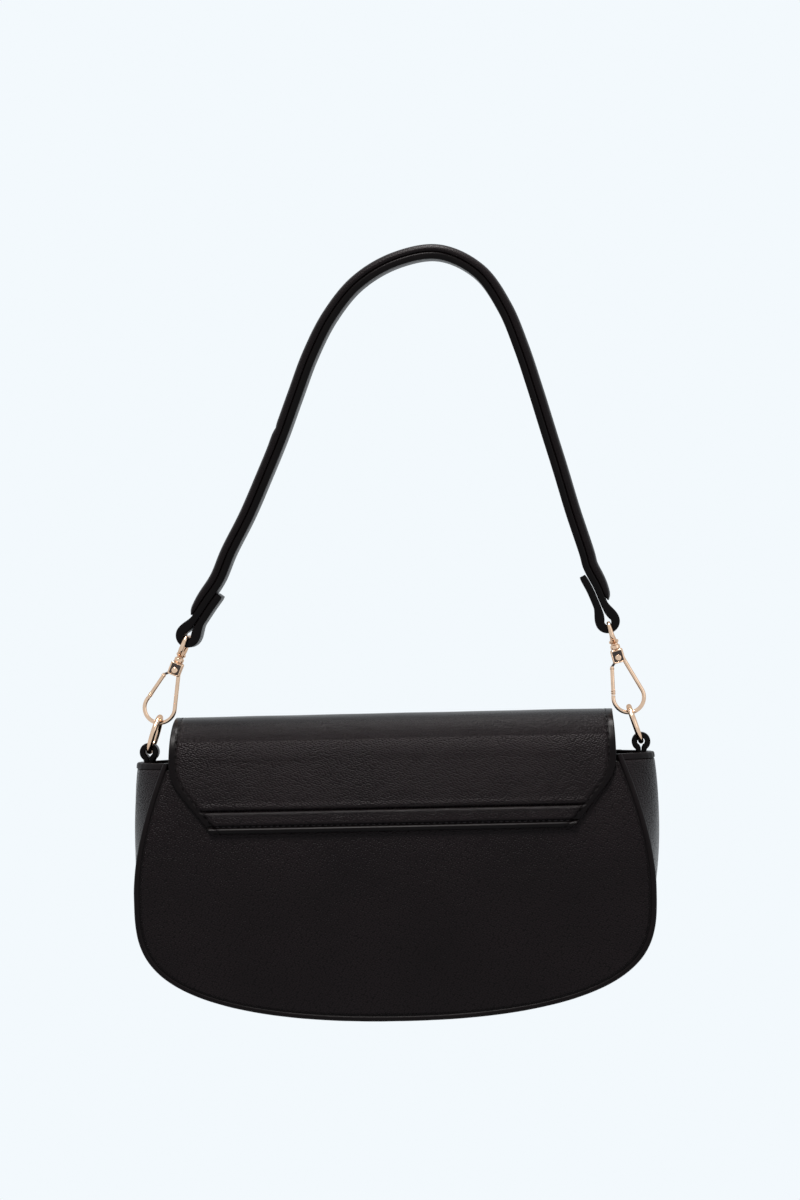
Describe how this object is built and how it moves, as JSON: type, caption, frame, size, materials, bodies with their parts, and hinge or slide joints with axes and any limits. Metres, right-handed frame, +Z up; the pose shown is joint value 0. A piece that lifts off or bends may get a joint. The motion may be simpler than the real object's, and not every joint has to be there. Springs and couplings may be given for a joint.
{
  "type": "handbag",
  "caption": "Small flap shoulder bag with a D-shaped body, bowed side gusset, piping and a padded strap on swivel snap hooks.",
  "frame": {"origin": "top of the strap above the middle of the bag, where the hand closes over it", "axes": "+Z up, +X along the bag's width, +Y from the back panel to the flap's front"},
  "size_m": [0.2644, 0.0726, 0.3879],
  "materials": {
    "body_leather": "fine pebble grain, semi-matt black",
    "trim_leather": "smooth semi-gloss black with painted edges",
    "lining_cloth": "black twill",
    "board": "grey fibre board",
    "foam": "soft felt filler",
    "gold_metal": "polished pale gold plating",
    "spring_steel": "bare spring steel",
    "magnet_steel": "nickel plated magnet"
  },
  "bodies": {
    "strap": {"strap_strip": "trim_leather", "strap_pad_cover": "body_leather", "strap_pad_core": "foam", "left_clasp_eye": "gold_metal", "right_clasp_eye": "gold_metal"},
    "left_hook": {"left_clasp_hook": "gold_metal", "left_clasp_rivet": "gold_metal", "left_gate_spring": "spring_steel"},
    "left_gate": {"left_clasp_gate": "gold_metal"},
    "right_hook": {"right_clasp_hook": "gold_metal", "right_clasp_rivet": "gold_metal", "right_gate_spring": "spring_steel"},
    "right_gate": {"right_clasp_gate": "gold_metal"},
    "bag": {"back_panel": "body_leather", "front_panel": "body_leather", "gusset": "body_leather", "back_piping": "trim_leather", "front_piping": "trim_leather", "back_top_binding": "trim_leather", "front_top_binding": "trim_leather", "left_gusset_hem": "trim_leather", "right_gusset_hem": "trim_leather", "back_stiffener": "board", "front_stiffener": "board", "back_lining": "lining_cloth", "front_lining": "lining_cloth", "gusset_lining": "lining_cloth", "inner_pocket": "lining_cloth", "panel_magnet": "magnet_steel", "flap_tail": "body_leather", "left_tab": "trim_leather", "right_tab": "trim_leather"},
    "left_ring": {"left_ring": "gold_metal"},
    "right_ring": {"right_ring": "gold_metal"},
    "flap_top": {"flap_bridge": "body_leather", "flap_bridge_lining": "lining_cloth"},
    "flap": {"flap_front": "body_leather", "flap_front_lining": "lining_cloth", "flap_front_stiffener": "board", "flap_magnet": "magnet_steel"}
  },
  "joints": [
    {"name": "bag_swing", "type": "hinge", "parent": "strap", "child": "bag", "pos_m": [0, 0, -0.22922], "axis": [1, 0, 0], "range_deg": [-60, 60]},
    {"name": "flap_lift", "type": "hinge", "parent": "bag", "child": "flap_top", "pos_m": [0, -0.0261, -0.24865], "axis": [1, 0, 0], "range_deg": [0, 30], "deforming": ["flap_bridge", "flap_bridge_lining"]},
    {"name": "flap_fold", "type": "hinge", "parent": "flap_top", "child": "flap", "pos_m": [0, 0.02026, -0.23377], "axis": [1, 0, 0], "range_deg": [0, 110]},
    {"name": "left_clasp_swivel", "type": "hinge", "parent": "strap", "child": "left_hook", "pos_m": [-0.1103, 0, -0.20268], "axis": [0.3875, 0, 0.9219], "range_deg": [-8, 8]},
    {"name": "right_clasp_swivel", "type": "hinge", "parent": "strap", "child": "right_hook", "pos_m": [0.11392, 0, -0.20146], "axis": [-0.2487, 0, 0.9686], "range_deg": [-8, 8]},
    {"name": "left_gate_turn", "type": "hinge", "parent": "left_hook", "child": "left_gate", "pos_m": [-0.1103, 0, -0.20268], "axis": [0, -1, 0], "range_deg": [0, 24], "stiffness_Nm_per_rad": 0.05, "springref_deg": -11.46},
    {"name": "right_gate_turn", "type": "hinge", "parent": "right_hook", "child": "right_gate", "pos_m": [0.11392, 0, -0.20146], "axis": [0, -1, 0], "range_deg": [0, 24], "stiffness_Nm_per_rad": 0.05, "springref_deg": -11.46},
    {"name": "left_ring_tilt", "type": "hinge", "parent": "bag", "child": "left_ring", "pos_m": [-0.12428, 0, -0.24363], "axis": [0, 1, 0], "range_deg": [-3.5, 1]},
    {"name": "right_ring_tilt", "type": "hinge", "parent": "bag", "child": "right_ring", "pos_m": [0.12428, 0, -0.24363], "axis": [0, 1, 0], "range_deg": [-1, 3.5]}
  ]
}
